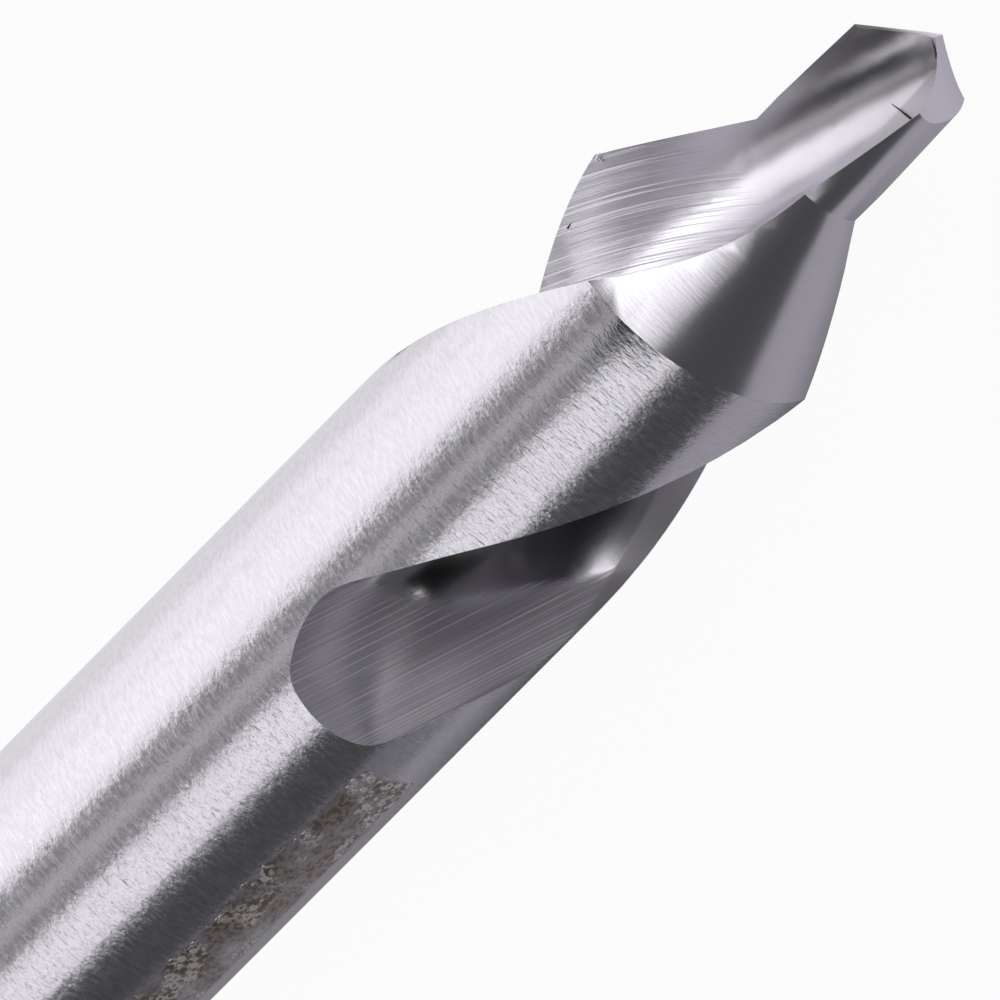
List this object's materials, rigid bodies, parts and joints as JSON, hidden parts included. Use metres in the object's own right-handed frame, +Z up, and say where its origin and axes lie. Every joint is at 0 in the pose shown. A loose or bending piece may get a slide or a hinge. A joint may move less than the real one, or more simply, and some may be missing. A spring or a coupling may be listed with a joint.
{
  "type": "center drill",
  "caption": "Double-ended combined drill and countersink in ground high-speed steel, with a short pilot, a 60 degree cone and right-hand helical flutes.",
  "frame": {"origin": "on the drill's axis at mid length", "axes": "+X along the drill's axis towards one tip, +Z up when it lies on a bench, +Y across"},
  "size_m": [0.0508, 0.0064, 0.0064],
  "materials": {
    "ground_high_speed_steel": "ground"
  },
  "bodies": {
    "root": {"center_drill": "ground_high_speed_steel"}
  },
  "joints": []
}
